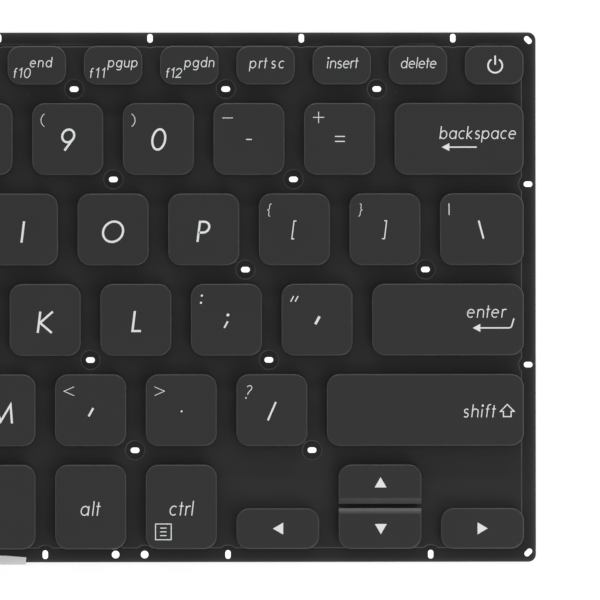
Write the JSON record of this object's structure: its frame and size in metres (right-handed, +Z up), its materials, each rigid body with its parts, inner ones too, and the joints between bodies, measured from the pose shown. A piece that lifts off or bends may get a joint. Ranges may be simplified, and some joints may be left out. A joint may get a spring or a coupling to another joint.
{
  "type": "laptop keyboard",
  "caption": "Flat rectangular scissor-switch keyboard module for a laptop: low rounded keycaps in staggered rows on a thin slotted support plate.",
  "frame": {"origin": "middle of the support plate's underside", "axes": "+X along the key rows to the enter side, +Y to the function row, +Z up through the keys"},
  "size_m": [0.2742, 0.1119, 0.0044],
  "materials": {
    "plate": "black coated",
    "membrane": "matte film",
    "rubber": "matte",
    "link": "moulded",
    "wire": "drawn",
    "keycap": "fine matte",
    "paper": "paper"
  },
  "bodies": {
    "base": {"support_plate": "plate", "membrane": "membrane", "rubber_domes": "rubber", "scissor_outer_links": "link", "scissor_inner_links": "link", "paper_label": "paper", "left_keycaps": "keycap"},
    "cap_f7": {"key_f7": "keycap"},
    "cap_f8": {"key_f8": "keycap"},
    "cap_f9": {"key_f9": "keycap"},
    "cap_f10": {"key_f10": "keycap"},
    "cap_f11": {"key_f11": "keycap"},
    "cap_f12": {"key_f12": "keycap"},
    "cap_print_screen": {"key_print_screen": "keycap"},
    "cap_insert": {"key_insert": "keycap"},
    "cap_delete": {"key_delete": "keycap"},
    "cap_power": {"key_power": "keycap"},
    "cap_6": {"key_6": "keycap"},
    "cap_7": {"key_7": "keycap"},
    "cap_8": {"key_8": "keycap"},
    "cap_9": {"key_9": "keycap"},
    "cap_0": {"key_0": "keycap"},
    "cap_minus": {"key_minus": "keycap"},
    "cap_equals": {"key_equals": "keycap"},
    "cap_backspace": {"key_backspace": "keycap"},
    "cap_y": {"key_y": "keycap"},
    "cap_u": {"key_u": "keycap"},
    "cap_i": {"key_i": "keycap"},
    "cap_o": {"key_o": "keycap"},
    "cap_p": {"key_p": "keycap"},
    "cap_left_bracket": {"key_left_bracket": "keycap"},
    "cap_right_bracket": {"key_right_bracket": "keycap"},
    "cap_backslash": {"key_backslash": "keycap"},
    "cap_g": {"key_g": "keycap"},
    "cap_h": {"key_h": "keycap"},
    "cap_j": {"key_j": "keycap"},
    "cap_k": {"key_k": "keycap"},
    "cap_l": {"key_l": "keycap"},
    "cap_semicolon": {"key_semicolon": "keycap"},
    "cap_quote": {"key_quote": "keycap"},
    "cap_enter": {"key_enter": "keycap"},
    "cap_b": {"key_b": "keycap"},
    "cap_n": {"key_n": "keycap"},
    "cap_m": {"key_m": "keycap"},
    "cap_comma": {"key_comma": "keycap"},
    "cap_period": {"key_period": "keycap"},
    "cap_slash": {"key_slash": "keycap"},
    "cap_right_shift": {"key_right_shift": "keycap"},
    "cap_space": {"key_space": "keycap"},
    "cap_right_alt": {"key_right_alt": "keycap"},
    "cap_right_ctrl": {"key_right_ctrl": "keycap"},
    "cap_left_arrow": {"key_left_arrow": "keycap"},
    "cap_up_arrow": {"key_up_arrow": "keycap"},
    "cap_down_arrow": {"key_down_arrow": "keycap"},
    "cap_right_arrow": {"key_right_arrow": "keycap"},
    "wire_backspace": {"bar_backspace": "wire"},
    "wire_enter": {"bar_enter": "wire"},
    "wire_right_shift": {"bar_right_shift": "wire"},
    "wire_space": {"bar_space": "wire"}
  },
  "joints": [
    {"name": "f7_travel", "type": "slide", "parent": "base", "child": "cap_f7", "axis": [0, 0, -1], "range_m": [0, 0.0014], "stiffness_N_per_m": 420, "deforming": ["rubber_domes", "scissor_outer_links", "scissor_inner_links"]},
    {"name": "f8_travel", "type": "slide", "parent": "base", "child": "cap_f8", "axis": [0, 0, -1], "range_m": [0, 0.0014], "stiffness_N_per_m": 420, "deforming": ["rubber_domes", "scissor_outer_links", "scissor_inner_links"]},
    {"name": "f9_travel", "type": "slide", "parent": "base", "child": "cap_f9", "axis": [0, 0, -1], "range_m": [0, 0.0014], "stiffness_N_per_m": 420, "deforming": ["rubber_domes", "scissor_outer_links", "scissor_inner_links"]},
    {"name": "f10_travel", "type": "slide", "parent": "base", "child": "cap_f10", "axis": [0, 0, -1], "range_m": [0, 0.0014], "stiffness_N_per_m": 420, "deforming": ["rubber_domes", "scissor_outer_links", "scissor_inner_links"]},
    {"name": "f11_travel", "type": "slide", "parent": "base", "child": "cap_f11", "axis": [0, 0, -1], "range_m": [0, 0.0014], "stiffness_N_per_m": 420, "deforming": ["rubber_domes", "scissor_outer_links", "scissor_inner_links"]},
    {"name": "f12_travel", "type": "slide", "parent": "base", "child": "cap_f12", "axis": [0, 0, -1], "range_m": [0, 0.0014], "stiffness_N_per_m": 420, "deforming": ["rubber_domes", "scissor_outer_links", "scissor_inner_links"]},
    {"name": "print_screen_travel", "type": "slide", "parent": "base", "child": "cap_print_screen", "axis": [0, 0, -1], "range_m": [0, 0.0014], "stiffness_N_per_m": 420, "deforming": ["rubber_domes", "scissor_outer_links", "scissor_inner_links"]},
    {"name": "insert_travel", "type": "slide", "parent": "base", "child": "cap_insert", "axis": [0, 0, -1], "range_m": [0, 0.0014], "stiffness_N_per_m": 420, "deforming": ["rubber_domes", "scissor_outer_links", "scissor_inner_links"]},
    {"name": "delete_travel", "type": "slide", "parent": "base", "child": "cap_delete", "axis": [0, 0, -1], "range_m": [0, 0.0014], "stiffness_N_per_m": 420, "deforming": ["rubber_domes", "scissor_outer_links", "scissor_inner_links"]},
    {"name": "power_travel", "type": "slide", "parent": "base", "child": "cap_power", "axis": [0, 0, -1], "range_m": [0, 0.0014], "stiffness_N_per_m": 420, "deforming": ["rubber_domes", "scissor_outer_links", "scissor_inner_links"]},
    {"name": "6_travel", "type": "slide", "parent": "base", "child": "cap_6", "axis": [0, 0, -1], "range_m": [0, 0.0014], "stiffness_N_per_m": 420, "deforming": ["rubber_domes", "scissor_outer_links", "scissor_inner_links"]},
    {"name": "7_travel", "type": "slide", "parent": "base", "child": "cap_7", "axis": [0, 0, -1], "range_m": [0, 0.0014], "stiffness_N_per_m": 420, "deforming": ["rubber_domes", "scissor_outer_links", "scissor_inner_links"]},
    {"name": "8_travel", "type": "slide", "parent": "base", "child": "cap_8", "axis": [0, 0, -1], "range_m": [0, 0.0014], "stiffness_N_per_m": 420, "deforming": ["rubber_domes", "scissor_outer_links", "scissor_inner_links"]},
    {"name": "9_travel", "type": "slide", "parent": "base", "child": "cap_9", "axis": [0, 0, -1], "range_m": [0, 0.0014], "stiffness_N_per_m": 420, "deforming": ["rubber_domes", "scissor_outer_links", "scissor_inner_links"]},
    {"name": "0_travel", "type": "slide", "parent": "base", "child": "cap_0", "axis": [0, 0, -1], "range_m": [0, 0.0014], "stiffness_N_per_m": 420, "deforming": ["rubber_domes", "scissor_outer_links", "scissor_inner_links"]},
    {"name": "minus_travel", "type": "slide", "parent": "base", "child": "cap_minus", "axis": [0, 0, -1], "range_m": [0, 0.0014], "stiffness_N_per_m": 420, "deforming": ["rubber_domes", "scissor_outer_links", "scissor_inner_links"]},
    {"name": "equals_travel", "type": "slide", "parent": "base", "child": "cap_equals", "axis": [0, 0, -1], "range_m": [0, 0.0014], "stiffness_N_per_m": 420, "deforming": ["rubber_domes", "scissor_outer_links", "scissor_inner_links"]},
    {"name": "backspace_travel", "type": "slide", "parent": "base", "child": "cap_backspace", "axis": [0, 0, -1], "range_m": [0, 0.0014], "stiffness_N_per_m": 420, "deforming": ["rubber_domes", "scissor_outer_links", "scissor_inner_links"]},
    {"name": "y_travel", "type": "slide", "parent": "base", "child": "cap_y", "axis": [0, 0, -1], "range_m": [0, 0.0014], "stiffness_N_per_m": 420, "deforming": ["rubber_domes", "scissor_outer_links", "scissor_inner_links"]},
    {"name": "u_travel", "type": "slide", "parent": "base", "child": "cap_u", "axis": [0, 0, -1], "range_m": [0, 0.0014], "stiffness_N_per_m": 420, "deforming": ["rubber_domes", "scissor_outer_links", "scissor_inner_links"]},
    {"name": "i_travel", "type": "slide", "parent": "base", "child": "cap_i", "axis": [0, 0, -1], "range_m": [0, 0.0014], "stiffness_N_per_m": 420, "deforming": ["rubber_domes", "scissor_outer_links", "scissor_inner_links"]},
    {"name": "o_travel", "type": "slide", "parent": "base", "child": "cap_o", "axis": [0, 0, -1], "range_m": [0, 0.0014], "stiffness_N_per_m": 420, "deforming": ["rubber_domes", "scissor_outer_links", "scissor_inner_links"]},
    {"name": "p_travel", "type": "slide", "parent": "base", "child": "cap_p", "axis": [0, 0, -1], "range_m": [0, 0.0014], "stiffness_N_per_m": 420, "deforming": ["rubber_domes", "scissor_outer_links", "scissor_inner_links"]},
    {"name": "left_bracket_travel", "type": "slide", "parent": "base", "child": "cap_left_bracket", "axis": [0, 0, -1], "range_m": [0, 0.0014], "stiffness_N_per_m": 420, "deforming": ["rubber_domes", "scissor_outer_links", "scissor_inner_links"]},
    {"name": "right_bracket_travel", "type": "slide", "parent": "base", "child": "cap_right_bracket", "axis": [0, 0, -1], "range_m": [0, 0.0014], "stiffness_N_per_m": 420, "deforming": ["rubber_domes", "scissor_outer_links", "scissor_inner_links"]},
    {"name": "backslash_travel", "type": "slide", "parent": "base", "child": "cap_backslash", "axis": [0, 0, -1], "range_m": [0, 0.0014], "stiffness_N_per_m": 420, "deforming": ["rubber_domes", "scissor_outer_links", "scissor_inner_links"]},
    {"name": "g_travel", "type": "slide", "parent": "base", "child": "cap_g", "axis": [0, 0, -1], "range_m": [0, 0.0014], "stiffness_N_per_m": 420, "deforming": ["rubber_domes", "scissor_outer_links", "scissor_inner_links"]},
    {"name": "h_travel", "type": "slide", "parent": "base", "child": "cap_h", "axis": [0, 0, -1], "range_m": [0, 0.0014], "stiffness_N_per_m": 420, "deforming": ["rubber_domes", "scissor_outer_links", "scissor_inner_links"]},
    {"name": "j_travel", "type": "slide", "parent": "base", "child": "cap_j", "axis": [0, 0, -1], "range_m": [0, 0.0014], "stiffness_N_per_m": 420, "deforming": ["rubber_domes", "scissor_outer_links", "scissor_inner_links"]},
    {"name": "k_travel", "type": "slide", "parent": "base", "child": "cap_k", "axis": [0, 0, -1], "range_m": [0, 0.0014], "stiffness_N_per_m": 420, "deforming": ["rubber_domes", "scissor_outer_links", "scissor_inner_links"]},
    {"name": "l_travel", "type": "slide", "parent": "base", "child": "cap_l", "axis": [0, 0, -1], "range_m": [0, 0.0014], "stiffness_N_per_m": 420, "deforming": ["rubber_domes", "scissor_outer_links", "scissor_inner_links"]},
    {"name": "semicolon_travel", "type": "slide", "parent": "base", "child": "cap_semicolon", "axis": [0, 0, -1], "range_m": [0, 0.0014], "stiffness_N_per_m": 420, "deforming": ["rubber_domes", "scissor_outer_links", "scissor_inner_links"]},
    {"name": "quote_travel", "type": "slide", "parent": "base", "child": "cap_quote", "axis": [0, 0, -1], "range_m": [0, 0.0014], "stiffness_N_per_m": 420, "deforming": ["rubber_domes", "scissor_outer_links", "scissor_inner_links"]},
    {"name": "enter_travel", "type": "slide", "parent": "base", "child": "cap_enter", "axis": [0, 0, -1], "range_m": [0, 0.0014], "stiffness_N_per_m": 420, "deforming": ["rubber_domes", "scissor_outer_links", "scissor_inner_links"]},
    {"name": "b_travel", "type": "slide", "parent": "base", "child": "cap_b", "axis": [0, 0, -1], "range_m": [0, 0.0014], "stiffness_N_per_m": 420, "deforming": ["rubber_domes", "scissor_outer_links", "scissor_inner_links"]},
    {"name": "n_travel", "type": "slide", "parent": "base", "child": "cap_n", "axis": [0, 0, -1], "range_m": [0, 0.0014], "stiffness_N_per_m": 420, "deforming": ["rubber_domes", "scissor_outer_links", "scissor_inner_links"]},
    {"name": "m_travel", "type": "slide", "parent": "base", "child": "cap_m", "axis": [0, 0, -1], "range_m": [0, 0.0014], "stiffness_N_per_m": 420, "deforming": ["rubber_domes", "scissor_outer_links", "scissor_inner_links"]},
    {"name": "comma_travel", "type": "slide", "parent": "base", "child": "cap_comma", "axis": [0, 0, -1], "range_m": [0, 0.0014], "stiffness_N_per_m": 420, "deforming": ["rubber_domes", "scissor_outer_links", "scissor_inner_links"]},
    {"name": "period_travel", "type": "slide", "parent": "base", "child": "cap_period", "axis": [0, 0, -1], "range_m": [0, 0.0014], "stiffness_N_per_m": 420, "deforming": ["rubber_domes", "scissor_outer_links", "scissor_inner_links"]},
    {"name": "slash_travel", "type": "slide", "parent": "base", "child": "cap_slash", "axis": [0, 0, -1], "range_m": [0, 0.0014], "stiffness_N_per_m": 420, "deforming": ["rubber_domes", "scissor_outer_links", "scissor_inner_links"]},
    {"name": "right_shift_travel", "type": "slide", "parent": "base", "child": "cap_right_shift", "axis": [0, 0, -1], "range_m": [0, 0.0014], "stiffness_N_per_m": 420, "deforming": ["rubber_domes", "scissor_outer_links", "scissor_inner_links"]},
    {"name": "space_travel", "type": "slide", "parent": "base", "child": "cap_space", "axis": [0, 0, -1], "range_m": [0, 0.0014], "stiffness_N_per_m": 520, "deforming": ["rubber_domes", "scissor_outer_links", "scissor_inner_links"]},
    {"name": "right_alt_travel", "type": "slide", "parent": "base", "child": "cap_right_alt", "axis": [0, 0, -1], "range_m": [0, 0.0014], "stiffness_N_per_m": 420, "deforming": ["rubber_domes", "scissor_outer_links", "scissor_inner_links"]},
    {"name": "right_ctrl_travel", "type": "slide", "parent": "base", "child": "cap_right_ctrl", "axis": [0, 0, -1], "range_m": [0, 0.0014], "stiffness_N_per_m": 420, "deforming": ["rubber_domes", "scissor_outer_links", "scissor_inner_links"]},
    {"name": "left_arrow_travel", "type": "slide", "parent": "base", "child": "cap_left_arrow", "axis": [0, 0, -1], "range_m": [0, 0.0014], "stiffness_N_per_m": 420, "deforming": ["rubber_domes", "scissor_outer_links", "scissor_inner_links"]},
    {"name": "up_arrow_travel", "type": "slide", "parent": "base", "child": "cap_up_arrow", "axis": [0, 0, -1], "range_m": [0, 0.0014], "stiffness_N_per_m": 420, "deforming": ["rubber_domes", "scissor_outer_links", "scissor_inner_links"]},
    {"name": "down_arrow_travel", "type": "slide", "parent": "base", "child": "cap_down_arrow", "axis": [0, 0, -1], "range_m": [0, 0.0014], "stiffness_N_per_m": 420, "deforming": ["rubber_domes", "scissor_outer_links", "scissor_inner_links"]},
    {"name": "right_arrow_travel", "type": "slide", "parent": "base", "child": "cap_right_arrow", "axis": [0, 0, -1], "range_m": [0, 0.0014], "stiffness_N_per_m": 420, "deforming": ["rubber_domes", "scissor_outer_links", "scissor_inner_links"]},
    {"name": "backspace_bar_swing", "type": "hinge", "parent": "cap_backspace", "child": "wire_backspace", "pos_m": [0.1208, 0.03893, 0.0032], "axis": [1, 0, 0], "range_deg": [-13.81, 0]},
    {"name": "enter_bar_swing", "type": "hinge", "parent": "cap_enter", "child": "wire_enter", "pos_m": [0.11842, 0.00093, 0.0032], "axis": [1, 0, 0], "range_deg": [-13.81, 0]},
    {"name": "right_shift_bar_swing", "type": "hinge", "parent": "cap_right_shift", "child": "wire_right_shift", "pos_m": [0.11366, -0.01808, 0.0032], "axis": [1, 0, 0], "range_deg": [-13.81, 0]},
    {"name": "space_bar_swing", "type": "hinge", "parent": "cap_space", "child": "wire_space", "pos_m": [-0.01386, -0.03707, 0.0032], "axis": [1, 0, 0], "range_deg": [-13.81, 0]}
  ],
  "couplings": [
    {"joint": "backspace_bar_swing", "follows": "backspace_travel", "rad_per_m": -171.53},
    {"joint": "enter_bar_swing", "follows": "enter_travel", "rad_per_m": -171.53},
    {"joint": "right_shift_bar_swing", "follows": "right_shift_travel", "rad_per_m": -171.53},
    {"joint": "space_bar_swing", "follows": "space_travel", "rad_per_m": -171.53}
  ]
}
